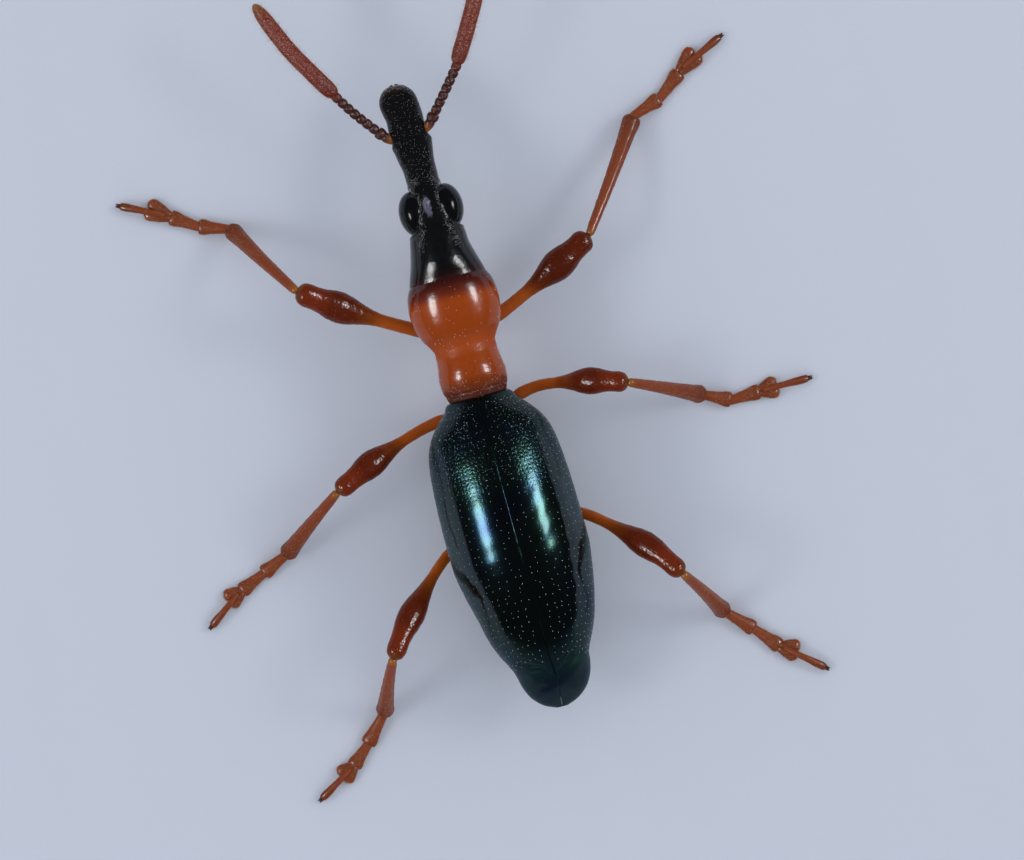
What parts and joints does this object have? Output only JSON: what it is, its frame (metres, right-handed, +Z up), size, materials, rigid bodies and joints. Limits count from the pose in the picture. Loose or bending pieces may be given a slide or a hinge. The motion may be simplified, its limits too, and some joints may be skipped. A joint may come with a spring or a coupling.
{
  "type": "sweet potato weevil",
  "caption": "Still life-size model of a standing sweet potato weevil: long snout, long clubbed feelers, waisted orange-brown thorax, glossy blue-black wing cases and bent legs.",
  "frame": {"origin": "middle of the whole animal's outline seen from above, on the floor that the feet stand on", "axes": "+Z up, -Y the way the head looks, +X the animal's left"},
  "size_m": [0.007, 0.0084, 0.0017],
  "materials": {
    "black_shell": "glossy black cuticle with fine punctures",
    "eye_gloss": "polished black faceted eye",
    "orange_shell": "glossy orange-brown cuticle",
    "wing_case": "glossy blue-black cuticle with rows of fine punctures",
    "belly_shell": "dark satin cuticle",
    "limb_red": "glossy red-brown cuticle",
    "limb_amber": "satin amber-brown cuticle with short hair",
    "feeler_dark": "dark brown beads",
    "feeler_club": "dull red-brown with short pale hair"
  },
  "bodies": {
    "root": {"rostrum": "black_shell", "head": "black_shell", "mandible_left": "black_shell", "mandible_right": "black_shell", "eye_left": "eye_gloss", "eye_right": "eye_gloss", "prothorax": "orange_shell", "hind_thorax": "belly_shell", "abdomen": "belly_shell", "elytron_left": "wing_case", "elytron_right": "wing_case", "antenna_left_scape": "limb_amber", "antenna_left_funicle": "feeler_dark", "antenna_left_club": "feeler_club", "antenna_right_scape": "limb_amber", "antenna_right_funicle": "feeler_dark", "antenna_right_club": "feeler_club", "coxa_front_left": "limb_red", "femur_front_left": "limb_red", "tibia_front_left": "limb_amber", "tarsus_front_left": "limb_amber", "coxa_front_right": "limb_red", "femur_front_right": "limb_red", "tibia_front_right": "limb_amber", "tarsus_front_right": "limb_amber", "coxa_middle_left": "limb_red", "femur_middle_left": "limb_red", "tibia_middle_left": "limb_amber", "tarsus_middle_left": "limb_amber", "coxa_middle_right": "limb_red", "femur_middle_right": "limb_red", "tibia_middle_right": "limb_amber", "tarsus_middle_right": "limb_amber", "coxa_hind_left": "limb_red", "femur_hind_left": "limb_red", "tibia_hind_left": "limb_amber", "tarsus_hind_left": "limb_amber", "coxa_hind_right": "limb_red", "femur_hind_right": "limb_red", "tibia_hind_right": "limb_amber", "tarsus_hind_right": "limb_amber"}
  },
  "joints": []
}
